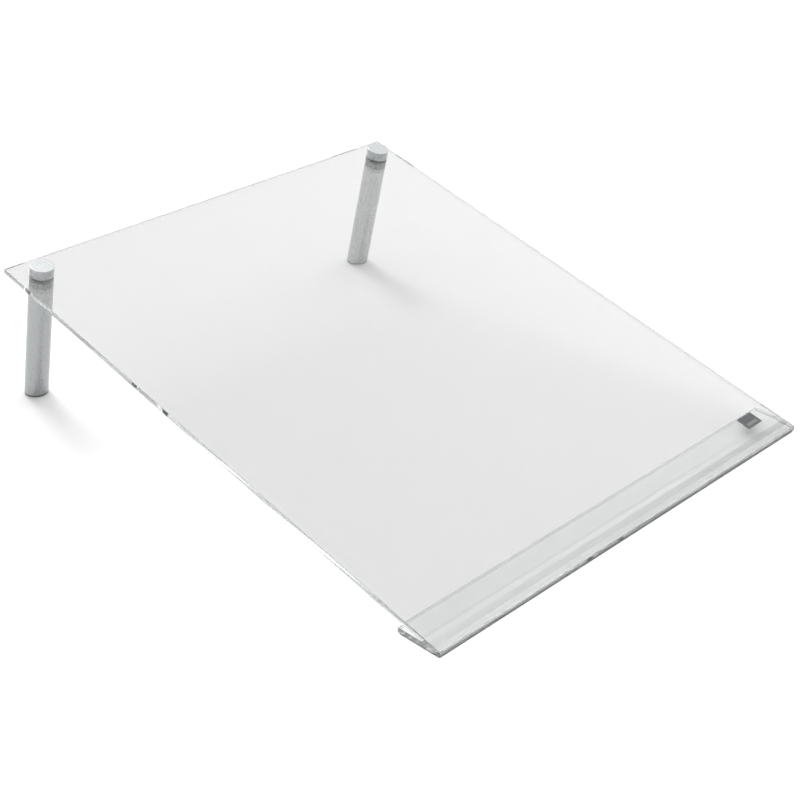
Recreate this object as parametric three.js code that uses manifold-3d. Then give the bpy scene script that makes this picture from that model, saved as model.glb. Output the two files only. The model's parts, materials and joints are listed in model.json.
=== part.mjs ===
// Portable drawing board: a clear sloping sheet bonded to a flat front foot, on two round legs that
// are clamped near its rear corners by screw caps. Sizes are in millimetres.
// +Z is up, the front edge faces -Y, and the origin lies on the table under the middle of the board.

import * as THREE from "three";
import { mergeVertices } from "three/addons/utils/BufferGeometryUtils.js";
import Module from "manifold-3d";

const wasm = await Module();
wasm.setup();

// Sheet and slope
const BOARD_WIDTH = 420;
const BOARD_LENGTH = 500;
const SHEET_THICKNESS = 4;
const SLOPE = THREE.MathUtils.degToRad(13.75);

// Front foot and what it stands on
const FOOT_DEPTH = 39;
const STRIP_THICKNESS = 1.2;
const STRIP_INSET = 0.5;

// Legs and their fittings, which share one axis square to the sheet
const LEG_RADIUS = 10;
const LEG_INSET_SIDE = 21;
const LEG_INSET_REAR = 21;
const CAP_TOP_ABOVE_SHEET = 9;
const GASKET_THICKNESS = 0.4;
const GASKET_RADIUS = 9.6;
const PAD_THICKNESS = 1.2;
const PAD_RADIUS = 9.6;
const EDGE_CHAMFER = 0.5;

// Threaded joint: an M8 stud held in the cap, which reaches 12 mm into the leg
const STUD_RADIUS = 3.7;
const BORE_RADIUS = 4;
const CLEARANCE_HOLE_RADIUS = 4.4;
const STUD_DEPTH_IN_CAP = 5;
const STUD_DEPTH_IN_LEG = 12;
const LEG_BORE_DEPTH = 15;
const DRILL_TIP = 2;

// Badge on the sheet, near the front right corner
const BADGE_WIDTH = 18.5;
const BADGE_LENGTH = 13;
const BADGE_THICKNESS = 0.5;
const BADGE_INSET_SIDE = 19.5;
const BADGE_INSET_FRONT = 20.5;

// Space left between touching pieces: the cement line, the printed film's edge and the clamp's slack
const GAP = 0.3;
const ROUND_SEGMENTS = 40;

const FOOT_UNDERSIDE = STRIP_THICKNESS + GAP;
const LEG_X = BOARD_WIDTH / 2 - LEG_INSET_SIDE;
const LEG_ALONG_SLOPE = BOARD_LENGTH - LEG_INSET_REAR;

const clearAcrylic = () => material(0xe9efed, 0.05, 0);
const clearSilicone = () => material(0xdfe5e4, 0.4, 0);
const brushedAluminium = () => material(0xb4b8b8, 0.35, 0.9);
const plainSteel = () => material(0x8f9294, 0.3, 1);
const darkRubber = () => material(0x2b2c2d, 0.8, 0);
const darkPrint = () => material(0x44484a, 0.5, 0);

function material(color, roughness, metalness) {
  return new THREE.MeshStandardMaterial({ color, roughness, metalness });
}

// A closed geometry as a manifold solid, with its shared vertices merged.
function solidFrom(geometry) {
  const bare = geometry.clone();
  bare.deleteAttribute("normal");
  bare.deleteAttribute("uv");
  const merged = mergeVertices(bare);
  return new wasm.Manifold(
    new wasm.Mesh({
      numProp: 3,
      vertProperties: merged.attributes.position.array,
      triVerts: new Uint32Array(merged.index.array),
    }),
  );
}

function geometryFrom(solid) {
  const mesh = solid.getMesh();
  const geometry = new THREE.BufferGeometry();
  geometry.setAttribute("position", new THREE.BufferAttribute(mesh.vertProperties, 3));
  geometry.setIndex(new THREE.BufferAttribute(mesh.triVerts, 1));
  geometry.computeVertexNormals();
  return geometry;
}

// A side profile of [y, z] corners, drawn anticlockwise, carried across the board's width.
function acrossWidth(corners, width) {
  const profile = new THREE.Shape(corners.map(([y, z]) => new THREE.Vector2(y, z)));
  const geometry = new THREE.ExtrudeGeometry(profile, { depth: width, bevelEnabled: false });
  const profileToSide = new THREE.Matrix4().makeBasis(
    new THREE.Vector3(0, 1, 0),
    new THREE.Vector3(0, 0, 1),
    new THREE.Vector3(1, 0, 0),
  );
  return geometry.applyMatrix4(profileToSide).translate(-width / 2, 0, 0);
}

// A turned piece about Z from [radius, height] corners, listed from the bottom up on the outside.
function turned(corners) {
  const profile = corners.map(([radius, height]) => new THREE.Vector2(radius, height));
  return new THREE.LatheGeometry(profile, ROUND_SEGMENTS).rotateX(Math.PI / 2);
}

// A level box whose top or bottom is cut through a leg that stands square to the sloping sheet.
// lowest and highest are heights above the table, and the result is in the leg's own frame.
function levelSlab(lowest, highest) {
  const side = 4 * LEG_RADIUS;
  const slab = new THREE.BoxGeometry(side, side, highest - lowest);
  slab.rotateX(-SLOPE);
  return slab.translate(0, 0, heightOnLegAxis((lowest + highest) / 2));
}

// Where the leg's axis, measured from the sheet's underside, is this high above the table.
function heightOnLegAxis(heightAboveTable) {
  const underside = FOOT_UNDERSIDE + LEG_ALONG_SLOPE * Math.sin(SLOPE);
  return (heightAboveTable - underside) / Math.cos(SLOPE);
}

// From the front edge to the back of the legs' level ends, which reach behind the sheet.
function overallDepth() {
  const cutOnAxis = heightOnLegAxis(PAD_THICKNESS + GAP);
  const cutCentre = LEG_ALONG_SLOPE * Math.cos(SLOPE) - cutOnAxis * Math.sin(SLOPE);
  return cutCentre + LEG_RADIUS / Math.cos(SLOPE);
}

// The sheet in its own frame: Y up the slope, Z out of its face. Its front end is cut upright.
function drawingPanel() {
  const sheet = acrossWidth(
    [
      [0, 0],
      [BOARD_LENGTH, 0],
      [BOARD_LENGTH, SHEET_THICKNESS],
      [SHEET_THICKNESS * Math.tan(SLOPE), SHEET_THICKNESS],
    ],
    BOARD_WIDTH,
  );
  const through = 4 * SHEET_THICKNESS;
  let solid = solidFrom(sheet);
  for (const side of [-1, 1]) {
    const hole = turned([
      [0, -through],
      [CLEARANCE_HOLE_RADIUS, -through],
      [CLEARANCE_HOLE_RADIUS, through],
      [0, through],
    ]).translate(side * LEG_X, LEG_ALONG_SLOPE, 0);
    solid = solid.subtract(solidFrom(hole));
  }
  return geometryFrom(solid);
}

// The foot lies level, and its top is bevelled to the sheet's underside for the cement line.
function frontFoot() {
  const top = FOOT_UNDERSIDE + SHEET_THICKNESS;
  const cement = GAP / Math.cos(SLOPE);
  const bevelStart = cement / Math.tan(SLOPE);
  const bevelEnd = (SHEET_THICKNESS + cement) / Math.tan(SLOPE);
  return acrossWidth(
    [
      [bevelStart, FOOT_UNDERSIDE],
      [FOOT_DEPTH, FOOT_UNDERSIDE],
      [FOOT_DEPTH, top],
      [bevelEnd, top],
    ],
    BOARD_WIDTH,
  );
}

// The strip covers the whole underside of the foot, bar a hair's breadth round its edge.
function antiSlipStrip() {
  const width = BOARD_WIDTH - 2 * STRIP_INSET;
  const depth = FOOT_DEPTH - 2 * STRIP_INSET;
  return new THREE.BoxGeometry(width, depth, STRIP_THICKNESS).translate(
    0,
    FOOT_DEPTH / 2,
    STRIP_THICKNESS / 2,
  );
}

function cornerBadge() {
  return new THREE.BoxGeometry(BADGE_WIDTH, BADGE_LENGTH, BADGE_THICKNESS).translate(
    BOARD_WIDTH / 2 - BADGE_INSET_SIDE - BADGE_WIDTH / 2,
    BADGE_INSET_FRONT + BADGE_LENGTH / 2,
    SHEET_THICKNESS + GAP + BADGE_THICKNESS / 2,
  );
}

// Heights on the leg's axis, measured from the sheet's underside
const upperGasketBottom = SHEET_THICKNESS + GAP;
const capBottom = upperGasketBottom + GASKET_THICKNESS + GAP;
const capTop = SHEET_THICKNESS + CAP_TOP_ABOVE_SHEET;
const lowerGasketBottom = -GAP - GASKET_THICKNESS;
const legTop = lowerGasketBottom - GAP;

// A flat ring, as a closed outline turned about the axis.
function gasket(bottom) {
  const top = bottom + GASKET_THICKNESS;
  return turned([
    [CLEARANCE_HOLE_RADIUS, bottom],
    [GASKET_RADIUS, bottom],
    [GASKET_RADIUS, top],
    [CLEARANCE_HOLE_RADIUS, top],
    [CLEARANCE_HOLE_RADIUS, bottom],
  ]);
}

// The cap is tapped from below and chamfered round its top.
function cap() {
  const boreEnd = capBottom + STUD_DEPTH_IN_CAP;
  return turned([
    [0, boreEnd],
    [BORE_RADIUS, boreEnd],
    [BORE_RADIUS, capBottom],
    [LEG_RADIUS, capBottom],
    [LEG_RADIUS, capTop - EDGE_CHAMFER],
    [LEG_RADIUS - EDGE_CHAMFER, capTop],
    [0, capTop],
  ]);
}

function stud() {
  const bottom = legTop - STUD_DEPTH_IN_LEG;
  const top = capBottom + STUD_DEPTH_IN_CAP - GAP;
  return turned([
    [0, bottom],
    [STUD_RADIUS - EDGE_CHAMFER, bottom],
    [STUD_RADIUS, bottom + EDGE_CHAMFER],
    [STUD_RADIUS, top - EDGE_CHAMFER],
    [STUD_RADIUS - EDGE_CHAMFER, top],
    [0, top],
  ]);
}

// The leg is a round bar, drilled and tapped from its top and cut level above its pad.
function leg() {
  const uncutBottom = heightOnLegAxis(-LEG_RADIUS);
  const boreBottom = legTop - LEG_BORE_DEPTH;
  const bar = turned([
    [0, uncutBottom],
    [LEG_RADIUS, uncutBottom],
    [LEG_RADIUS, legTop - EDGE_CHAMFER],
    [LEG_RADIUS - EDGE_CHAMFER, legTop],
    [BORE_RADIUS, legTop],
    [BORE_RADIUS, boreBottom],
    [0, boreBottom - DRILL_TIP],
  ]);
  const belowCut = levelSlab(-3 * LEG_RADIUS, PAD_THICKNESS + GAP);
  return geometryFrom(solidFrom(bar).subtract(solidFrom(belowCut)));
}

// The pad is the leg's own section, level above and below.
function footPad() {
  const reach = 3 * PAD_THICKNESS + LEG_RADIUS;
  const section = turned([
    [0, heightOnLegAxis(-reach)],
    [PAD_RADIUS, heightOnLegAxis(-reach)],
    [PAD_RADIUS, heightOnLegAxis(reach)],
    [0, heightOnLegAxis(reach)],
  ]);
  const slab = levelSlab(0, PAD_THICKNESS);
  return geometryFrom(solidFrom(section).intersect(solidFrom(slab)));
}

function piece(name, geometry, finish) {
  const mesh = new THREE.Mesh(geometry, finish);
  mesh.name = name;
  return mesh;
}

// One leg with everything threaded on its axis, in a group whose Z runs along that axis.
function legAssembly(sideName) {
  const group = new THREE.Group();
  group.add(piece(sideName + "_leg", leg(), brushedAluminium()));
  group.add(piece(sideName + "_foot_pad", footPad(), darkRubber()));
  group.add(piece(sideName + "_lower_gasket", gasket(lowerGasketBottom), clearSilicone()));
  group.add(piece(sideName + "_upper_gasket", gasket(upperGasketBottom), darkRubber()));
  group.add(piece(sideName + "_stud", stud(), plainSteel()));
  group.add(piece(sideName + "_cap", cap(), brushedAluminium()));
  return group;
}

const sloping = new THREE.Group();
sloping.position.z = FOOT_UNDERSIDE;
sloping.rotation.x = SLOPE;
sloping.add(piece("drawing_panel", drawingPanel(), clearAcrylic()));
sloping.add(piece("corner_badge", cornerBadge(), darkPrint()));
for (const [sideName, side] of [
  ["left", -1],
  ["right", 1],
]) {
  const assembly = legAssembly(sideName);
  assembly.position.set(side * LEG_X, LEG_ALONG_SLOPE, 0);
  sloping.add(assembly);
}

const drawingBoard = new THREE.Group();
drawingBoard.position.y = -overallDepth() / 2;
drawingBoard.add(sloping);
drawingBoard.add(piece("front_foot", frontFoot(), clearAcrylic()));
drawingBoard.add(piece("anti_slip_strip", antiSlipStrip(), clearSilicone()));

export default drawingBoard;
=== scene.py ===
"""The looks of a clear drawing board on two leaning metal legs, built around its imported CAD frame.

Lengths are in metres unless a name ends in _MM. The frame gives every place and size of the object.
"""

import json
import math

import bmesh
import bpy
from mathutils import Matrix, Vector


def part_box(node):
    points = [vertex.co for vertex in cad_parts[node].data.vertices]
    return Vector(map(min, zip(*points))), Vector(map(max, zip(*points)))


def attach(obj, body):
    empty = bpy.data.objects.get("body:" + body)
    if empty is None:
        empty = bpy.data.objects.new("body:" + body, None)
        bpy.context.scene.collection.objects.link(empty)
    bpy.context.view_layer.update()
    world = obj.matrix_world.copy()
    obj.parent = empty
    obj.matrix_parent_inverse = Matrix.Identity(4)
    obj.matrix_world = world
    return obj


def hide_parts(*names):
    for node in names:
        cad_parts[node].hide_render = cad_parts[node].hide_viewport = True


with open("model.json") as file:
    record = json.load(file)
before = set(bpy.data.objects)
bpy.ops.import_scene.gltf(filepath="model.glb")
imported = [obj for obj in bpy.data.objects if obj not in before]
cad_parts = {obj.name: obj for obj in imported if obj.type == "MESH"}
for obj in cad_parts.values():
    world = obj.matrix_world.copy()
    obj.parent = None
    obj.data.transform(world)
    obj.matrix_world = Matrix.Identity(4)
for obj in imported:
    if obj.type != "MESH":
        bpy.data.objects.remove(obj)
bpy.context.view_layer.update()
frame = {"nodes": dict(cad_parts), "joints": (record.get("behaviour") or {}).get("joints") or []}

MM = 0.001
SIDES = ("left", "right")

# Camera, in the frame of the object, with its turns in radians
CAMERA_PLACE = Vector((-0.83169, -0.82924, 0.66757))
CAMERA_YAW = 0.79091
CAMERA_PITCH = 0.50845
CAMERA_ROLL = 0.00337
CAMERA_LENS_MM = 73.05
SENSOR_MM = 36.0

# Fineness of the meshes
ROUND_STEPS = 96
ARC_STEPS = 5

# Edges of the sheet and the foot. END_RADIUS has to stay under every other radius but SHARP.
SHARP = 0
EDGE_RADIUS = 0.45 * MM
END_RADIUS = 0.25 * MM
FRONT_TOP_RADIUS = 0.9 * MM
HOLE_CHAMFER = 0.3 * MM

# Painted shade on the milled edges and on the bonded underside at the front, as shares of the way to
# their dark colour. RIM_DEPTH is how far in from the outline a point still counts as on the face. The
# others ending in _FROM, _TO, _DEPTH and _FADE are distances back from the front edge.
RIM_DEPTH = 0.3 * MM
FRONT_EDGE_TOP_SHARE = 0.28
FOOT_CORNER_SHARE = 0.95
FOOT_END_SHARE = 0.4
FOOT_CORNER_FROM = 5 * MM
FOOT_CORNER_TO = 13 * MM
SHEET_SIDE_SHARE = 0.6
SHEET_SIDE_FROM = 25 * MM
SHEET_SIDE_TO = 80 * MM
BOND_SHADE_DEPTH = 21 * MM
BOND_SHADE_FADE = 12 * MM
BOND_SHADE_BACK_SHARE = 0.33

# Legs and caps. The clamp squeezes out the play that the CAD leaves at each gasket. A ring of points
# SHADING_HOLD from a rounded edge keeps the shading of the face beside it flat.
CLAMP_SLACK = 0.28 * MM
BORE_RADIUS = 4 * MM
HOLE_RADIUS = 4.4 * MM
BORE_BELOW_STUD = 3 * MM
BORE_ABOVE_STUD = 0.25 * MM
DRILL_TIP = 2 * MM
CENTRE_MARK_RADIUS = 0.4 * MM
CENTRE_MARK_DEPTH = 0.12 * MM
SHADING_HOLD = 0.15 * MM
# The caps' top faces keep this share of their colour, as painted shade that holds down their brightness.
END_FACE_SHADE_SHARE = 0.69

# Thread of the M8 studs. Its root and its crest are each flat for this share of half a pitch.
THREAD_FLAT_SHARE = 0.2
THREAD_PITCH = 1.25 * MM
THREAD_CREST = 3.93 * MM
THREAD_ROOT = 3.3 * MM
THREAD_LEAD_IN = 0.8 * MM
THREAD_ROWS_PER_PITCH = 8
THREAD_STEPS_PER_TURN = 40

# Anti-slip strip
STRIP_ABOVE_TABLE = 0.04 * MM
STRIP_SQUEEZE = 0.2 * MM
STRIP_CORNER_RADIUS = 1.5 * MM
STRIP_EDGE_RADIUS = 0.2 * MM

# Badge. Its row of ticks lies BADGE_TICK_ROW up the slope from its middle.
BADGE_THICKNESS = 0.45 * MM
BADGE_ABOVE_SHEET = 0.02 * MM
BADGE_CORNER_RADIUS = 0.7 * MM
BADGE_EDGE_RADIUS = 0.12 * MM
BADGE_FRAME_INSET = 0.6 * MM
BADGE_FRAME_HALF_WIDTH = 0.1 * MM
BADGE_TICK_PITCH = 1.2 * MM
BADGE_TICK_HALF_WIDTH = 0.28 * MM
BADGE_TICK_ROW = -3.0 * MM
BADGE_TICK_HALF_LENGTH = 1.5 * MM
BADGE_TICK_MARGIN = 2.4 * MM


def span(node, direction):
    """The least and the greatest distance of a CAD node's points along a direction."""
    reach = [point.co.dot(direction) for point in frame["nodes"][node].data.vertices]
    return min(reach), max(reach)


ACROSS = Vector((1, 0, 0))
BACK = Vector((0, 1, 0))
UP = Vector((0, 0, 1))
joints = {joint["name"]: joint for joint in frame["joints"]}
LEAN = Vector(joints["left_cap_turn"]["axis"]).normalized()
UP_SLOPE = LEAN.cross(ACROSS)
SHEET_LOW, SHEET_HIGH = span("drawing_panel", LEAN)


def leg_place(side):
    """The matrix of a leg's own frame: Z along its axis, from where that meets the sheet's underside."""
    point = Vector(joints[side + "_cap_turn"]["pos_m"])
    origin = point + LEAN * (SHEET_LOW - point.dot(LEAN))
    axes = Matrix((ACROSS, UP_SLOPE, LEAN)).transposed().to_4x4()
    return Matrix.Translation(origin) @ axes


def heights(node):
    """A node's lowest and highest place along the legs' axis, from the sheet's underside."""
    low, high = span(node, LEAN)
    return low - SHEET_LOW, high - SHEET_LOW


def half_width(node):
    """Half of a CAD node's size across the board."""
    low, high = span(node, ACROSS)
    return (high - low) / 2


BOARD_FRONT = span("drawing_panel", BACK)[0]
BOARD_HALF_WIDTH = half_width("drawing_panel")
FOOT_LOW, FOOT_HIGH = span("front_foot", UP)


# ---------------------------------------------------------------------------------------------------
# Outlines and meshes


def rounded(corners, radii):
    """A closed outline with an arc at each corner. A radius of 0 leaves the corner sharp."""
    outline = []
    for i, (corner, radius) in enumerate(zip(corners, radii)):
        if radius == 0:
            outline.append(Vector(corner))
            continue
        point = Vector(corner)
        before = (Vector(corners[i - 1]) - point).normalized()
        after = (Vector(corners[(i + 1) % len(corners)]) - point).normalized()
        half_angle = before.angle(after) / 2
        start = point + before * radius / math.tan(half_angle)
        end = point + after * radius / math.tan(half_angle)
        centre = point + (before + after).normalized() * radius / math.sin(half_angle)
        for step in range(ARC_STEPS + 1):
            outwards = (start - centre).slerp(end - centre, step / ARC_STEPS)
            outline.append(centre + outwards.normalized() * radius)
    return outline


def inset(outline, distance):
    """The same points, moved into an anticlockwise outline. Sharp notches move at most twice as far."""
    moved = []
    for i, point in enumerate(outline):
        along_in = (point - outline[i - 1]).normalized()
        along_out = (outline[(i + 1) % len(outline)] - point).normalized()
        inward = Vector((-along_in.y, along_in.x)) + Vector((-along_out.y, along_out.x))
        inward.normalize()
        turn = inward.dot(Vector((-along_in.y, along_in.x)))
        moved.append(point + inward * distance / max(turn, 0.5))
    return moved


def loft(name, rings):
    """A closed mesh from rings of points, all with the same count, joined by quads."""
    bm = bmesh.new()
    rows = [[bm.verts.new(point) for point in ring] for ring in rings]
    for lower, upper in zip(rows, rows[1:]):
        for i in range(len(lower)):
            j = (i + 1) % len(lower)
            bm.faces.new((lower[i], lower[j], upper[j], upper[i]))
    ends = [bm.faces.new(rows[0]), bm.faces.new(rows[-1])]
    bm.normal_update()
    bmesh.ops.triangulate(bm, faces=ends, ngon_method="EAR_CLIP")
    return finished(bm, name)


def finished(bm, name):
    """Turns a bmesh into a mesh whose faces all point outwards."""
    bmesh.ops.recalc_face_normals(bm, faces=bm.faces)
    mesh = bpy.data.meshes.new(name)
    bm.to_mesh(mesh)
    bm.free()
    return mesh


def turned(name, profile, steps=ROUND_STEPS, closed=False, height_at=None):
    """A mesh turned about Z from (radius, height) points, on the axis at both ends unless closed.

    height_at(row, y, height) may give the points of a row other heights, as for a slanting cut.
    """
    bm = bmesh.new()
    rows = []
    for row, (radius, height) in enumerate(profile):
        ring = []
        for i in range(1 if radius == 0 else steps):
            angle = 2 * math.pi * i / steps
            x, y = radius * math.cos(angle), radius * math.sin(angle)
            z = height_at(row, y, height) if height_at else height
            ring.append(bm.verts.new((x, y, z)))
        rows.append(ring)
    pairs = list(zip(rows, rows[1:]))
    if closed:
        pairs.append((rows[-1], rows[0]))
    for lower, upper in pairs:
        for i in range(steps):
            j = (i + 1) % steps
            if len(lower) == 1:
                bm.faces.new((lower[0], upper[j], upper[i]))
            elif len(upper) == 1:
                bm.faces.new((lower[i], lower[j], upper[0]))
            else:
                bm.faces.new((lower[i], lower[j], upper[j], upper[i]))
    return finished(bm, name)


def smooth(mesh, sharp_from=30):
    """Smooth shading, but for edges that turn by more than sharp_from degrees."""
    mesh.shade_smooth()
    mesh.set_sharp_from_angle(angle=math.radians(sharp_from))


def mark_faces(mesh, name, value_of):
    """Writes a number on each face of a mesh, which its material reads under this name."""
    marks = mesh.attributes.new(name, "FLOAT", "FACE")
    marks.data.foreach_set("value", [float(value_of(face)) for face in mesh.polygons])


def remember_place(mesh):
    """Keeps each point's own coordinates, which the materials read after the mesh is put in place."""
    own = mesh.attributes.new("own_place", "FLOAT_VECTOR", "POINT")
    flat = [number for vertex in mesh.vertices for number in vertex.co]
    own.data.foreach_set("vector", flat)


def add_piece(name, mesh, body, nodes, material, place=None):
    """Puts a mesh in the row frame as a piece that stands for CAD nodes and rides on their body."""
    remember_place(mesh)
    if place:
        mesh.transform(place)
    mesh.materials.append(material)
    piece = bpy.data.objects.new(name, mesh)
    bpy.context.scene.collection.objects.link(piece)
    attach(piece, body)
    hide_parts(*nodes)
    return piece


# ---------------------------------------------------------------------------------------------------
# Node materials


class Tree:
    """A material's or world's node tree, with short calls for the nodes that it uses."""

    def __init__(self, tree):
        self.tree = tree
        tree.nodes.clear()

    def node(self, kind, **settings):
        """A new node of this kind, with these settings."""
        made = self.tree.nodes.new(kind)
        for name, value in settings.items():
            setattr(made, name, value)
        return made

    def set(self, socket, value):
        """Gives a socket a fixed value, or a link from another node's socket."""
        if isinstance(value, bpy.types.NodeSocket):
            self.tree.links.new(value, socket)
        else:
            socket.default_value = value

    def math(self, operation, *values):
        """The result of a Math node. The values are numbers or other nodes' sockets."""
        made = self.node("ShaderNodeMath", operation=operation)
        for socket, value in zip(made.inputs, values):
            self.set(socket, value)
        return made.outputs[0]

    def vector(self, operation, *values):
        """The result of a Vector Math node, which is a number for a dot product or a length."""
        made = self.node("ShaderNodeVectorMath", operation=operation)
        sockets = [socket for socket in made.inputs if socket.enabled]
        for socket, value in zip(sockets, values):
            self.set(socket, value)
        return made.outputs["Value" if operation in ("DOT_PRODUCT", "LENGTH") else "Vector"]

    def ramp(self, value, low, high, to_low=0.0, to_high=1.0):
        """value, carried from low..high to to_low..to_high and kept between those."""
        made = self.node("ShaderNodeMapRange", clamp=True)
        for socket, number in zip(made.inputs, (value, low, high, to_low, to_high)):
            self.set(socket, number)
        return made.outputs[0]

    def noise(self, place, scale, detail=2.0, roughness=0.5):
        """Soft noise from 0 to 1, with about scale bumps to a metre of place."""
        made = self.node("ShaderNodeTexNoise")
        self.set(made.inputs["Vector"], place)
        self.set(made.inputs["Scale"], scale)
        self.set(made.inputs["Detail"], detail)
        self.set(made.inputs["Roughness"], roughness)
        return made.outputs["Fac"]

    def mix(self, factor, first, second):
        """The first colour where factor is 0, passing to the second where it is 1."""
        made = self.node("ShaderNodeMix", data_type="RGBA")
        self.set(made.inputs[0], factor)
        self.set(made.inputs[6], first)
        self.set(made.inputs[7], second)
        return made.outputs[2]

    def bump(self, height, distance, strength=1.0):
        """A normal that leans as if the surface rose by distance where height goes from 0 to 1."""
        made = self.node("ShaderNodeBump")
        self.set(made.inputs["Strength"], strength)
        self.set(made.inputs["Distance"], distance)
        self.set(made.inputs["Height"], height)
        return made.outputs[0]

    def own_place(self):
        """The point's coordinates in its piece's own frame, as remember_place kept them."""
        return self.node("ShaderNodeAttribute", attribute_name="own_place").outputs["Vector"]

    def face_mark(self, name):
        """The number that mark_faces wrote on the face, or 0 where it wrote none."""
        return self.node("ShaderNodeAttribute", attribute_name=name).outputs["Fac"]

    def split(self, place):
        """The x, y and z of a vector, as sockets."""
        made = self.node("ShaderNodeSeparateXYZ")
        self.set(made.inputs[0], place)
        return made.outputs


def new_material(name):
    """An empty material and its node tree."""
    material = bpy.data.materials.new(name)
    material.use_nodes = True
    return material, Tree(material.node_tree)


def principled(tree, colour, roughness, **uniform):
    """A Principled shader. uniform sets its other sockets by name, with _ standing for a space."""
    shader = tree.node("ShaderNodeBsdfPrincipled")
    tree.set(shader.inputs["Base Color"], colour)
    tree.set(shader.inputs["Roughness"], roughness)
    for name, value in uniform.items():
        tree.set(shader.inputs[name.replace("_", " ")], value)
    return shader


def output(tree, surface, volume=None):
    """Ends a material with its surface, and with what fills it if that is given."""
    made = tree.node("ShaderNodeOutputMaterial")
    tree.set(made.inputs["Surface"], surface)
    if volume:
        tree.set(made.inputs["Volume"], volume)


def let_light_through(tree, surface, colour):
    """Lamps and lit surfaces shine straight through, and every other ray meets the real surface."""
    straight = tree.node("ShaderNodeBsdfTransparent")
    tree.set(straight.inputs["Color"], colour)
    path = tree.node("ShaderNodeLightPath")
    lighting = tree.math("MAXIMUM", path.outputs["Is Shadow Ray"], path.outputs["Is Diffuse Ray"])
    mixed = tree.node("ShaderNodeMixShader")
    tree.set(mixed.inputs[0], lighting)
    tree.set(mixed.inputs[1], surface)
    tree.set(mixed.inputs[2], straight.outputs[0])
    return mixed.outputs[0]


def inner_absorption(tree, colour, density):
    """The colour that a clear solid gains with its depth."""
    depth = tree.node("ShaderNodeVolumeAbsorption")
    tree.set(depth.inputs["Color"], colour)
    tree.set(depth.inputs["Density"], density)
    return depth.outputs[0]


def edge_painted_shade(tree, place):
    """Painted shade: the front edge, most low down, the foot's ends and the sheet's lower sides."""
    x, y, z = tree.split(place)
    back = tree.math("SUBTRACT", y, BOARD_FRONT)
    at_front = tree.math("LESS_THAN", back, RIM_DEPTH)
    # The front edge's painted shade is darkest at its bottom, where the contact shade falls.
    dark_up_to = FOOT_LOW + 1.4 * MM
    light_from = FOOT_HIGH - 0.2 * MM
    downwards = tree.ramp(z, dark_up_to, light_from, 1.0, FRONT_EDGE_TOP_SHARE)
    front_edge = tree.math("MULTIPLY", at_front, downwards)
    at_side = tree.math("GREATER_THAN", tree.math("ABSOLUTE", x), BOARD_HALF_WIDTH - RIM_DEPTH)
    on_foot = tree.math("LESS_THAN", z, FOOT_HIGH)
    near_corner = tree.ramp(
        back, FOOT_CORNER_FROM, FOOT_CORNER_TO, FOOT_CORNER_SHARE, FOOT_END_SHARE
    )
    foot_end = tree.math("MULTIPLY", tree.math("MULTIPLY", at_side, on_foot), near_corner)
    near_front = tree.ramp(back, SHEET_SIDE_FROM, SHEET_SIDE_TO, SHEET_SIDE_SHARE, 0.0)
    sheet_side = tree.math("MULTIPLY", at_side, near_front)
    return tree.math("MAXIMUM", tree.math("MAXIMUM", front_edge, foot_end), sheet_side)


def bond_painted_shade(tree, place):
    """Painted shade on the foot's underside where it and the sheet are one: most at the front."""
    y, z = tree.split(place)[1:]
    back = tree.math("SUBTRACT", y, BOARD_FRONT)
    at_underside = tree.math("LESS_THAN", z, FOOT_LOW + RIM_DEPTH)
    in_bond = tree.math("LESS_THAN", back, BOND_SHADE_DEPTH)
    share = tree.ramp(back, 0.0, BOND_SHADE_FADE, 1.0, BOND_SHADE_BACK_SHARE)
    return tree.math("MULTIPLY", tree.math("MULTIPLY", at_underside, in_bond), share)


def clear_acrylic():
    """Cast acrylic: lightly tinted on the sheet's faces, painted shade on edges and bond, else clear."""
    material, tree = new_material("clear_acrylic")
    place = tree.own_place()
    on_face = tree.face_mark("sheet_face")
    clear = (0.985, 0.99, 0.988, 1)
    # A grey painted shade for the bonded underside, strongest at the front.
    painted_bond_shade_grey = (0.57, 0.575, 0.573, 1)
    # A near black painted shade for the edges.
    painted_edge_shade_grey = (0.07, 0.073, 0.074, 1)
    darker_tint = (0.662, 0.665, 0.663, 1)
    lighter_tint = (0.674, 0.677, 0.675, 1)
    tint = tree.mix(tree.noise(place, scale=22, detail=2), darker_tint, lighter_tint)
    hairs_per_metre = (2600, 90, 0)
    hairs = tree.noise(tree.vector("MULTIPLY", place, hairs_per_metre), scale=1)
    bonded = tree.mix(bond_painted_shade(tree, place), clear, painted_bond_shade_grey)
    rim = tree.mix(edge_painted_shade(tree, place), bonded, painted_edge_shade_grey)
    glass = principled(
        tree,
        tree.mix(on_face, rim, tint),
        tree.ramp(hairs, 0.78, 0.82, to_low=0.0, to_high=0.03),
        IOR=1.49,
        Transmission_Weight=1.0,
    )
    waves = tree.noise(place, scale=9, detail=1)
    tree.set(glass.inputs["Normal"], tree.bump(waves, distance=0.02 * MM))
    let_by_edges = (0.985, 0.987, 0.986, 1)
    let_by_faces = (0.927, 0.929, 0.928, 1)
    let_by = tree.mix(on_face, let_by_edges, let_by_faces)
    surface = let_light_through(tree, glass.outputs[0], let_by)
    output(tree, surface, inner_absorption(tree, colour=(0.77, 0.785, 0.78, 1), density=4.5))
    return material


def turned_lines(tree, place):
    """Fine lines that run round the axis on a turned piece's side, and in rings on its ends."""
    x, y, z = tree.split(place)
    breaks_per_metre = 70
    lines_per_metre = 7000
    radius = tree.vector("LENGTH", tree.vector("MULTIPLY", place, (1, 1, 0)))
    spread = tree.node("ShaderNodeCombineXYZ")
    tree.set(spread.inputs[0], tree.math("MULTIPLY", x, breaks_per_metre))
    tree.set(spread.inputs[1], tree.math("MULTIPLY", y, breaks_per_metre))
    across_lines = tree.math("ADD", z, radius)
    tree.set(spread.inputs[2], tree.math("MULTIPLY", across_lines, lines_per_metre))
    return tree.noise(spread.outputs[0], scale=1, detail=3, roughness=0.6)


def drawn_lines(tree, place):
    """Soft streaks that run along a drawn bar."""
    streaks_per_metre = (330, 330, 5)
    return tree.noise(tree.vector("MULTIPLY", place, streaks_per_metre), scale=1, detail=2)


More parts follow.
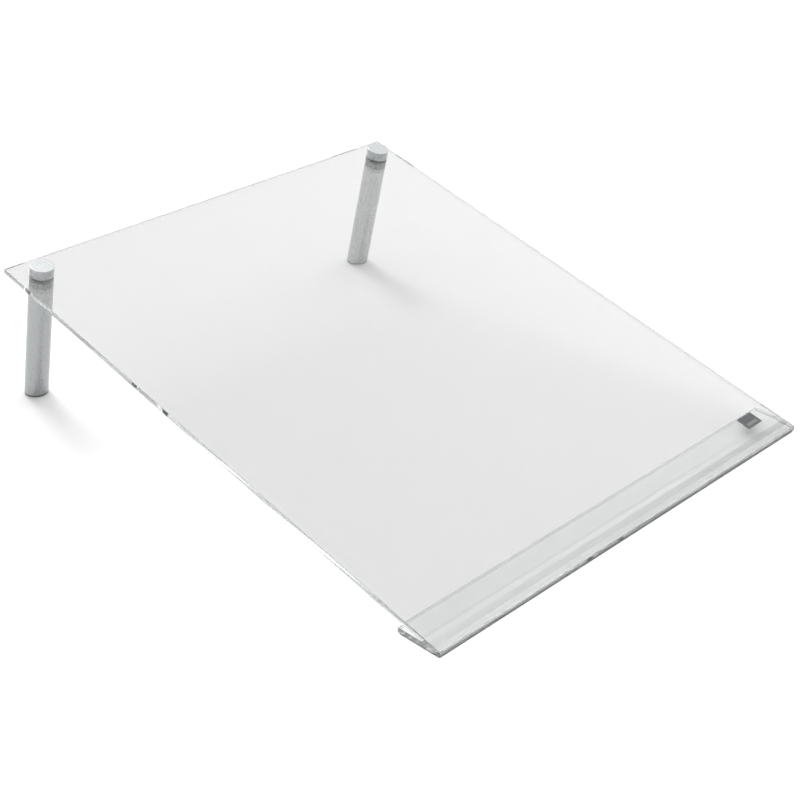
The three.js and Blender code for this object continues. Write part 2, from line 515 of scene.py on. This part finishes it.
def satin_aluminium(name, lines_of, dark, light, relief):
    """Satin aluminium whose fine lines lie between two greys. Marked end faces get a painted shade."""
    material, tree = new_material(name)
    place = tree.own_place()
    lines = lines_of(tree, place)
    clouds = tree.noise(place, scale=160, detail=3)
    dark_grey = (dark, dark * 1.03, dark * 1.04, 1)
    light_grey = (light, light * 1.03, light * 1.035, 1)
    colour = tree.mix(lines, dark_grey, light_grey)
    handled_grey = (0.56, 0.575, 0.58, 1)
    worn = tree.mix(tree.ramp(clouds, 0.5, 0.8, to_low=0, to_high=0.12), colour, handled_grey)
    # Painted shade on the marked end faces: they keep only a share of the colour.
    end_face_shade = tree.ramp(tree.face_mark("end_face_shade"), 0, 1, to_low=1, to_high=END_FACE_SHADE_SHARE)
    line_roughness = tree.ramp(lines, 0.3, 0.7, to_low=0.2, to_high=0.28)
    cloud_roughness = tree.ramp(clouds, 0.3, 0.7, to_low=0, to_high=0.05)
    roughness = tree.math("ADD", line_roughness, cloud_roughness)
    metal = principled(tree, tree.vector("SCALE", worn, end_face_shade), roughness, Metallic=1.0)
    tree.set(metal.inputs["Normal"], tree.bump(lines, distance=relief, strength=0.6))
    output(tree, metal.outputs[0])
    return material


def zinc_steel():
    """Zinc plate with a fine spangle."""
    material, tree = new_material("zinc_steel")
    place = tree.own_place()
    spangle = tree.noise(place, scale=900, detail=4)
    dark_grain = (0.42, 0.43, 0.44, 1)
    light_grain = (0.62, 0.63, 0.64, 1)
    colour = tree.mix(spangle, dark_grain, light_grain)
    roughness = tree.ramp(spangle, 0.3, 0.7, to_low=0.22, to_high=0.4)
    metal = principled(tree, colour, roughness, Metallic=1.0)
    tree.set(metal.inputs["Normal"], tree.bump(spangle, distance=0.01 * MM, strength=0.4))
    output(tree, metal.outputs[0])
    return material


def dark_rubber():
    """Moulded dark grey rubber with a fine matt grain and a little dust in it."""
    material, tree = new_material("dark_rubber")
    place = tree.own_place()
    grain = tree.noise(place, scale=2600, detail=3)
    dust = tree.noise(place, scale=420, detail=4)
    dark_grey = (0.13, 0.133, 0.136, 1)
    dusty_grey = (0.19, 0.193, 0.195, 1)
    colour = tree.mix(tree.ramp(dust, 0.45, 0.8), dark_grey, dusty_grey)
    roughness = tree.ramp(grain, 0.3, 0.7, to_low=0.62, to_high=0.82)
    rubber = principled(tree, colour, roughness)
    tree.set(rubber.inputs["Normal"], tree.bump(grain, distance=0.04 * MM, strength=0.5))
    output(tree, rubber.outputs[0])
    return material


def clear_silicone(name, milk):
    """Frosted clear silicone, with a share of milky white and a painted shade on its marked rim."""
    material, tree = new_material(name)
    place = tree.own_place()
    frost = tree.noise(place, scale=1500, detail=3)
    lint = tree.noise(place, scale=300, detail=4)
    clean = (0.99, 0.993, 0.992, 1)
    linty = (0.97, 0.975, 0.973, 1)
    # A painted shade on the strip's side faces, which stands in for the contact shadow under the foot.
    painted_shade_rim_grey = (0.06, 0.062, 0.062, 1)
    clear = tree.mix(tree.ramp(lint, 0.5, 0.8), clean, linty)
    silicone = principled(
        tree,
        tree.mix(tree.face_mark("rim"), clear, painted_shade_rim_grey),
        tree.ramp(frost, 0.3, 0.7, to_low=0.08, to_high=0.14),
        IOR=1.18,
        Transmission_Weight=1.0 - milk,
    )
    tree.set(silicone.inputs["Normal"], tree.bump(frost, distance=0.01 * MM, strength=0.3))
    let_by = (0.99, 0.992, 0.991, 1)
    surface = let_light_through(tree, silicone.outputs[0], let_by)
    output(tree, surface, inner_absorption(tree, colour=(0.5, 0.51, 0.51, 1), density=25.0))
    return material


def badge_marks(tree, place):
    """1 on the badge's thin frame and on its row of generic rule marks, and 0 elsewhere."""
    x, y = tree.split(place)[:2]
    low_s, high_s = span("corner_badge", UP_SLOPE)
    from_side = tree.math("SUBTRACT", half_width("corner_badge"), tree.math("ABSOLUTE", x))
    from_end = tree.math("SUBTRACT", (high_s - low_s) / 2, tree.math("ABSOLUTE", y))
    from_edge = tree.math("MINIMUM", from_side, from_end)
    frame_line = tree.math("COMPARE", from_edge, BADGE_FRAME_INSET, BADGE_FRAME_HALF_WIDTH)
    from_tick = tree.math("PINGPONG", x, BADGE_TICK_PITCH / 2)
    on_tick = tree.math("LESS_THAN", from_tick, BADGE_TICK_HALF_WIDTH)
    in_row = tree.math("COMPARE", y, BADGE_TICK_ROW, BADGE_TICK_HALF_LENGTH)
    inside = tree.math("GREATER_THAN", from_side, BADGE_TICK_MARGIN)
    ticks = tree.math("MULTIPLY", tree.math("MULTIPLY", on_tick, in_row), inside)
    return tree.math("MAXIMUM", frame_line, ticks)


def badge_print():
    """A plain dark printed film with a fine grain, a hairline frame and a few generic rule marks."""
    material, tree = new_material("badge_print")
    place = tree.own_place()
    grain = tree.noise(place, scale=3200, detail=3)
    rub = tree.noise(place, scale=260, detail=4)
    dark_ink = (0.034, 0.037, 0.041, 1)
    light_ink = (0.058, 0.062, 0.066, 1)
    rubbed_ink = (0.11, 0.115, 0.12, 1)
    mark_grey = (0.27, 0.275, 0.28, 1)
    ink = tree.mix(grain, dark_ink, light_ink)
    ink = tree.mix(tree.ramp(rub, 0.5, 0.85, to_low=0, to_high=0.3), ink, rubbed_ink)
    marked = tree.mix(badge_marks(tree, place), ink, mark_grey)
    roughness = tree.ramp(grain, 0.3, 0.7, to_low=0.34, to_high=0.46)
    film = principled(tree, marked, roughness)
    tree.set(film.inputs["Normal"], tree.bump(grain, distance=0.02 * MM, strength=0.4))
    output(tree, film.outputs[0])
    return material


# ---------------------------------------------------------------------------------------------------
# Pieces of the board


def height_on(plane, y):
    """The height, at this y, of the slanting plane that lies this far along LEAN from the origin."""
    return (plane - LEAN.y * y) / LEAN.z


def board_outline():
    """The side view of the sheet and the foot as one bonded solid, as anticlockwise (y, z) points."""
    foot_back = span("front_foot", BACK)[1]
    rear = span("drawing_panel", UP_SLOPE)[1]
    notch = (SHEET_LOW - LEAN.z * FOOT_HIGH) / LEAN.y
    rear_low = UP_SLOPE * rear + LEAN * SHEET_LOW
    rear_high = UP_SLOPE * rear + LEAN * SHEET_HIGH
    corners = [
        (BOARD_FRONT, FOOT_LOW),
        (foot_back, FOOT_LOW),
        (foot_back, FOOT_HIGH),
        (notch, FOOT_HIGH),
        (rear_low.y, rear_low.z),
        (rear_high.y, rear_high.z),
        (BOARD_FRONT, height_on(SHEET_HIGH, BOARD_FRONT)),
    ]
    foot_radii = [EDGE_RADIUS, SHARP, SHARP, SHARP]
    sheet_radii = [EDGE_RADIUS, EDGE_RADIUS, FRONT_TOP_RADIUS]
    return rounded(corners, foot_radii + sheet_radii)


def hole_cutter(side):
    """A cutter for a leg's clearance hole, with a small chamfer at both faces of the sheet."""
    place = leg_place(side)
    panel = frame["nodes"]["drawing_panel"].data
    own = [place.inverted() @ vertex.co for vertex in panel.vertices]
    from_axis = [Vector((point.x, point.y)).length for point in own]
    under_cap = half_width(side + "_cap")
    radius = max(distance for distance in from_axis if distance < under_cap)
    thickness = SHEET_HIGH - SHEET_LOW
    beyond = 2 * thickness
    profile = [
        (0, -beyond),
        (radius + HOLE_CHAMFER + beyond, -beyond),
        (radius, HOLE_CHAMFER),
        (radius, thickness - HOLE_CHAMFER),
        (radius + HOLE_CHAMFER + beyond, thickness + beyond),
        (0, thickness + beyond),
    ]
    mesh = turned("cutter", profile)
    mesh.transform(place)
    cutter = bpy.data.objects.new("cutter", mesh)
    bpy.context.scene.collection.objects.link(cutter)
    return cutter


def cut(mesh, cutters):
    """The mesh with each cutter taken out of it. The cutters are deleted."""
    blank = bpy.data.objects.new("blank", mesh)
    bpy.context.scene.collection.objects.link(blank)
    for cutter in cutters:
        boolean = blank.modifiers.new("cut", "BOOLEAN")
        boolean.object = cutter
        boolean.operation = "DIFFERENCE"
        boolean.solver = "EXACT"
    graph = bpy.context.evaluated_depsgraph_get()
    made = bpy.data.meshes.new_from_object(blank.evaluated_get(graph))
    for used in [blank, *cutters]:
        bpy.data.objects.remove(used)
    return made


def on_sheet(face):
    """Whether a face is one of the sheet's two large ones, which carry its tint."""
    return abs(face.normal.dot(LEAN)) > 0.999


def clear_board():
    """The sheet and its foot, bonded into one clear solid with two holes for the studs."""
    outline = board_outline()
    sections = []
    for step in range(ARC_STEPS + 1):
        angle = math.pi / 2 * step / ARC_STEPS
        depth = END_RADIUS * (1 - math.sin(angle))
        sections.append((END_RADIUS * (1 - math.cos(angle)) - BOARD_HALF_WIDTH, depth))
    sections += [(-x, depth) for x, depth in reversed(sections)]
    swept = [[Vector((x, p.x, p.y)) for p in inset(outline, depth)] for x, depth in sections]
    mesh = cut(loft("clear_board", swept), [hole_cutter(side) for side in SIDES])
    mark_faces(mesh, "sheet_face", on_sheet)
    add_piece(
        "clear_board",
        mesh,
        "board",
        ["drawing_panel", "front_foot"],
        clear_acrylic(),
    )


def soft_box(width, depth, low, high, corner, edge):
    """The rings of a flat plate with round corners in plan and rounded edges above and below."""
    corners = [
        (-width / 2, -depth / 2),
        (width / 2, -depth / 2),
        (width / 2, depth / 2),
        (-width / 2, depth / 2),
    ]
    outline = rounded(corners, [corner] * 4)
    rings = []
    for step in range(ARC_STEPS + 1):
        angle = math.pi / 2 * step / ARC_STEPS
        rings.append((low + edge - edge * math.cos(angle), edge * (1 - math.sin(angle))))
    rings += [(low + high - z, inward) for z, inward in reversed(rings)]
    return [[Vector((p.x, p.y, z)) for p in inset(outline, inward)] for z, inward in rings]


def corner_badge():
    """The printed plate that lies on the sheet near its front right corner."""
    low_x, high_x = span("corner_badge", ACROSS)
    low_s, high_s = span("corner_badge", UP_SLOPE)
    centre = ACROSS * (low_x + high_x) / 2 + UP_SLOPE * (low_s + high_s) / 2
    lift = SHEET_HIGH + BADGE_ABOVE_SHEET
    axes = Matrix((ACROSS, UP_SLOPE, LEAN)).transposed().to_4x4()
    place = Matrix.Translation(centre + LEAN * lift) @ axes
    rings = soft_box(
        high_x - low_x,
        high_s - low_s,
        low=0,
        high=BADGE_THICKNESS,
        corner=BADGE_CORNER_RADIUS,
        edge=BADGE_EDGE_RADIUS,
    )
    add_piece(
        "badge_plate",
        loft("badge_plate", rings),
        "board",
        ["corner_badge"],
        badge_print(),
        place,
    )


def anti_slip_strip(silicone):
    """The strip under the foot, squeezed up to it and just clear of the table."""
    low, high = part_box("anti_slip_strip")
    size = high - low
    rings = soft_box(
        size.x,
        size.y,
        low=STRIP_ABOVE_TABLE,
        high=size.z + STRIP_SQUEEZE,
        corner=STRIP_CORNER_RADIUS,
        edge=STRIP_EDGE_RADIUS,
    )
    centre = Vector(((low.x + high.x) / 2, (low.y + high.y) / 2, low.z))
    mesh = loft("silicone_strip", rings)
    # The side faces are marked for the silicone's painted shade.
    mark_faces(mesh, "rim", lambda face: abs(face.normal.z) < 0.8)
    add_piece(
        "silicone_strip",
        mesh,
        "board",
        ["anti_slip_strip"],
        silicone,
        Matrix.Translation(centre),
    )


# ---------------------------------------------------------------------------------------------------
# Pieces of the legs


def fillet(radius, height, size, outward, upward):
    """(radius, height) points of a rounded edge, from its side face to its end face."""
    points = []
    for step in range(ARC_STEPS + 1):
        angle = math.pi / 2 * step / ARC_STEPS
        points.append(
            (
                radius - outward * size * (1 - math.cos(angle)),
                height - upward * size * (1 - math.sin(angle)),
            )
        )
    return points


def cap(side, metal):
    """A turned cap, drilled from below, with a small centre mark on its top."""
    node = side + "_cap"
    low, high = heights(node)
    low -= CLAMP_SLACK
    radius = half_width(node)
    bore_end = heights(side + "_stud")[1] + BORE_ABOVE_STUD
    chamfer = 0.4 * MM
    low_edge = 0.25 * MM
    high_edge = 0.5 * MM
    side_low = fillet(radius, low, low_edge, 1, -1)
    side_high = fillet(radius, high, high_edge, 1, 1)
    profile = [
        (0, bore_end),
        (BORE_RADIUS - SHADING_HOLD, bore_end),
        (BORE_RADIUS, bore_end),
        (BORE_RADIUS, low + chamfer),
        (BORE_RADIUS + chamfer, low),
        (side_low[-1][0] - SHADING_HOLD, low),
        *reversed(side_low),
        (radius, low + low_edge + SHADING_HOLD),
        (radius, high - high_edge - SHADING_HOLD),
        *side_high,
        (side_high[-1][0] - SHADING_HOLD, high),
        (1.5 * CENTRE_MARK_RADIUS, high),
        (CENTRE_MARK_RADIUS, high),
        (0, high - CENTRE_MARK_DEPTH),
    ]
    mesh = turned(node + "_turned", profile)
    # The cap's top faces are marked for the metal's painted shade.
    mark_faces(mesh, "end_face_shade", lambda face: face.normal.z > 0.9 and face.center.z > low)
    smooth(mesh)
    add_piece(
        node + "_turned", mesh, node, [node], metal, leg_place(side)
    )


def stud(side, steel):
    """An M8 stud with its thread cut, chamfered at both ends."""
    node = side + "_stud"
    low, high = heights(node)
    rows = math.ceil((high - low) / THREAD_PITCH * THREAD_ROWS_PER_PITCH)
    rings = []
    for row in range(rows + 1):
        z = low + (high - low) * row / rows
        nearest_end = min(z - low, high - z)
        ring = []
        for i in range(THREAD_STEPS_PER_TURN):
            turn = i / THREAD_STEPS_PER_TURN
            phase = abs((z / THREAD_PITCH - turn) % 1 - 0.5) * 2
            flank = (phase - THREAD_FLAT_SHARE) / (1 - 2 * THREAD_FLAT_SHARE)
            flank = min(max(flank, 0), 1)
            radius = THREAD_ROOT + (THREAD_CREST - THREAD_ROOT) * flank
            radius = min(radius, THREAD_CREST - max(0, THREAD_LEAD_IN - nearest_end))
            angle = 2 * math.pi * turn
            ring.append(Vector((radius * math.cos(angle), radius * math.sin(angle), z)))
        rings.append(ring)
    mesh = loft(node + "_threaded", rings)
    smooth(mesh, 50)
    add_piece(
        node + "_threaded", mesh, side + "_cap", [node], steel, leg_place(side)
    )


def gasket(side, which, body, soft):
    """A flat ring with soft rounded edges, squeezed between the sheet and its other neighbour."""
    node = side + "_" + which + "_gasket"
    low, high = heights(node)
    if which == "upper":
        low -= CLAMP_SLACK
    else:
        high += CLAMP_SLACK
    outer = half_width(node)
    edge = 0.2 * MM
    outer_low = fillet(outer, low, edge, 1, -1)
    outer_high = fillet(outer, high, edge, 1, 1)
    inner_high = fillet(HOLE_RADIUS, high, edge, -1, 1)
    inner_low = fillet(HOLE_RADIUS, low, edge, -1, -1)
    profile = [*reversed(outer_low), *outer_high, *reversed(inner_high), *inner_low]
    mesh = turned(node + "_ring", profile, closed=True)
    smooth(mesh)
    add_piece(node + "_ring", mesh, body, [node], soft, leg_place(side))


def leg(side, metal):
    """A round bar, drilled from its top and cut level at its foot, with softened edges."""
    node = side + "_leg"
    place = leg_place(side)
    top = heights(node)[1] + CLAMP_SLACK
    cut_height = span(node, UP)[0]
    radius = half_width(node)
    bore_bottom = heights(side + "_stud")[0] - BORE_BELOW_STUD
    edge = 0.5 * MM
    foot_edge = 0.4 * MM
    hold = 0.2 * MM
    level_rows = [
        (0, 0),
        (radius - foot_edge - hold, 0),
        *reversed(fillet(radius, 0, foot_edge, 1, -1)),
        (radius, foot_edge + hold),
    ]
    square_rows = [
        (radius, top - edge - hold),
        *fillet(radius, top, edge, 1, 1),
        (radius - edge - hold, top),
        (BORE_RADIUS + edge, top),
        (BORE_RADIUS, top - edge),
        (BORE_RADIUS, bore_bottom),
        (0, bore_bottom - DRILL_TIP),
    ]

    def height_at(row, y, height):
        """The level rows' heights are above the cut, and the others' are along the leg's axis."""
        if row >= len(level_rows):
            return height
        return (cut_height + height - place.translation.z - y * UP_SLOPE.z) / LEAN.z

    mesh = turned(node + "_bar", level_rows + square_rows, height_at=height_at)
    smooth(mesh)
    add_piece(node + "_bar", mesh, node, [node], metal, place)


def foot_pad(side, rubber):
    """A thin pad under the level end of a leg, with a soft edge."""
    node = side + "_foot_pad"
    low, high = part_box(node)
    centre = Vector(((low.x + high.x) / 2, (low.y + high.y) / 2, low.z))
    size = high - low
    edge = 0.3 * MM
    hold = 3 * MM
    half_x, half_y = size.x / 2, size.y / 2
    profile = [
        (0, 0),
        (half_x - hold, 0),
        *reversed(fillet(half_x, 0, edge, 1, -1)),
        *fillet(half_x, size.z, edge, 1, 1),
        (0, size.z),
    ]
    mesh = turned(node + "_moulded", profile)
    mesh.transform(Matrix.Diagonal((1, half_y / half_x, 1, 1)))
    smooth(mesh)
    add_piece(
        node + "_moulded",
        mesh,
        side + "_leg",
        [node],
        rubber,
        Matrix.Translation(centre),
    )


# ---------------------------------------------------------------------------------------------------
# Studio


def camera():
    """The camera, from its place and the turns of its line of sight."""
    forward = Vector(
        (
            math.sin(CAMERA_YAW) * math.cos(CAMERA_PITCH),
            math.cos(CAMERA_YAW) * math.cos(CAMERA_PITCH),
            -math.sin(CAMERA_PITCH),
        )
    )
    level_right = forward.cross(UP).normalized()
    level_up = level_right.cross(forward)
    right = level_right * math.cos(CAMERA_ROLL) + level_up * math.sin(CAMERA_ROLL)
    up = right.cross(forward)
    lens = bpy.data.cameras.new("camera")
    lens.lens = CAMERA_LENS_MM
    lens.sensor_width = SENSOR_MM
    lens.clip_start = 0.01
    lens.clip_end = 100
    made = bpy.data.objects.new("camera", lens)
    bpy.context.scene.collection.objects.link(made)
    turn = Matrix((right, up, -forward)).transposed().to_4x4()
    made.matrix_world = Matrix.Translation(CAMERA_PLACE) @ turn
    bpy.context.scene.camera = made


def floor():
    """A wide white table top with a faint unevenness in its tone."""
    material, tree = new_material("white_table")
    coordinates = tree.node("ShaderNodeTexCoord").outputs["Object"]
    mottle = tree.noise(coordinates, scale=3, detail=2)
    darker_white = (0.89, 0.89, 0.89, 1)
    lighter_white = (0.91, 0.91, 0.91, 1)
    white = tree.mix(mottle, darker_white, lighter_white)
    output(tree, principled(tree, white, roughness=0.9, Specular_IOR_Level=0.1).outputs[0])
    reach = 40.0
    bm = bmesh.new()
    corners = [(-reach, -reach, 0), (reach, -reach, 0), (reach, reach, 0), (-reach, reach, 0)]
    bm.faces.new([bm.verts.new(corner) for corner in corners])
    mesh = finished(bm, "table_top")
    mesh.materials.append(material)
    top = bpy.data.objects.new("table_top", mesh)
    bpy.context.scene.collection.objects.link(top)


# Lights of the studio: a lamp and a window, each a lobe round its direction, in a pale room
KEY_AZIMUTH = math.radians(19)
KEY_ELEVATION = math.radians(55)
KEY_RADIANCE = 20.0
KEY_TIGHTNESS = 100
WINDOW_AZIMUTH = math.radians(74)
WINDOW_ELEVATION = math.radians(45)
WINDOW_RADIANCE = 1.3
WINDOW_TIGHTNESS = 6
ROOM_LOW = 0.78
ROOM_HIGH = 0.74

# Times that light may turn, inside the sheet or through clear faces
EDGE_BOUNCES = 96
STRAIGHT_BOUNCES = 24


def lobe(tree, direction, azimuth, elevation, radiance, tightness):
    """Light that comes from round one direction. Azimuth turns from +Y towards +X."""
    towards = (
        math.sin(azimuth) * math.cos(elevation),
        math.cos(azimuth) * math.cos(elevation),
        math.sin(elevation),
    )
    facing = tree.math("MAXIMUM", tree.vector("DOT_PRODUCT", direction, towards), 0.0)
    return tree.math("MULTIPLY", tree.math("POWER", facing, tightness), radiance)


def studio_light():
    """A lamp and a wide window behind the board, in a pale room. The camera sees plain white."""
    world = bpy.data.worlds.new("studio")
    world.use_nodes = True
    bpy.context.scene.world = world
    tree = Tree(world.node_tree)
    direction = tree.node("ShaderNodeTexCoord").outputs["Generated"]
    key = lobe(tree, direction, KEY_AZIMUTH, KEY_ELEVATION, KEY_RADIANCE, KEY_TIGHTNESS)
    window = lobe(
        tree, direction, WINDOW_AZIMUTH, WINDOW_ELEVATION, WINDOW_RADIANCE, WINDOW_TIGHTNESS
    )
    height = tree.vector("DOT_PRODUCT", direction, (0, 0, 1))
    room = tree.ramp(height, 0.0, 0.8, ROOM_LOW, ROOM_HIGH)
    light = tree.node("ShaderNodeBackground")
    tree.set(light.inputs["Color"], (1, 1, 1, 1))
    tree.set(light.inputs["Strength"], tree.math("ADD", tree.math("ADD", room, window), key))
    plain = tree.node("ShaderNodeBackground")
    tree.set(plain.inputs["Color"], (1, 1, 1, 1))
    mixed = tree.node("ShaderNodeMixShader")
    tree.set(mixed.inputs[0], tree.node("ShaderNodeLightPath").outputs["Is Camera Ray"])
    tree.set(mixed.inputs[1], light.outputs[0])
    tree.set(mixed.inputs[2], plain.outputs[0])
    made = tree.node("ShaderNodeOutputWorld")
    tree.set(made.inputs["Surface"], mixed.outputs[0])
    bpy.context.scene.view_settings.view_transform = "Standard"


def light_paths():
    """Enough bounces for the light that runs inside the sheet from one edge to the other."""
    cycles = bpy.context.scene.cycles
    cycles.max_bounces = EDGE_BOUNCES
    cycles.glossy_bounces = EDGE_BOUNCES
    cycles.transmission_bounces = EDGE_BOUNCES
    cycles.transparent_max_bounces = STRAIGHT_BOUNCES


camera()
floor()
studio_light()
light_paths()
cap_metal = satin_aluminium(
    "cap_aluminium", turned_lines, dark=0.47, light=0.615, relief=0.012 * MM
)
leg_metal = satin_aluminium(
    "leg_aluminium", drawn_lines, dark=0.378, light=0.414, relief=0.004 * MM
)
steel = zinc_steel()
rubber = dark_rubber()
strip_silicone = clear_silicone("strip_silicone", milk=0.0)
ring_silicone = clear_silicone("ring_silicone", milk=0.4)
clear_board()
corner_badge()
anti_slip_strip(strip_silicone)
for side in SIDES:
    cap(side, cap_metal)
    stud(side, steel)
    gasket(side, "upper", side + "_gasket", rubber)
    gasket(side, "lower", side + "_leg", ring_silicone)
    leg(side, leg_metal)
    foot_pad(side, rubber)
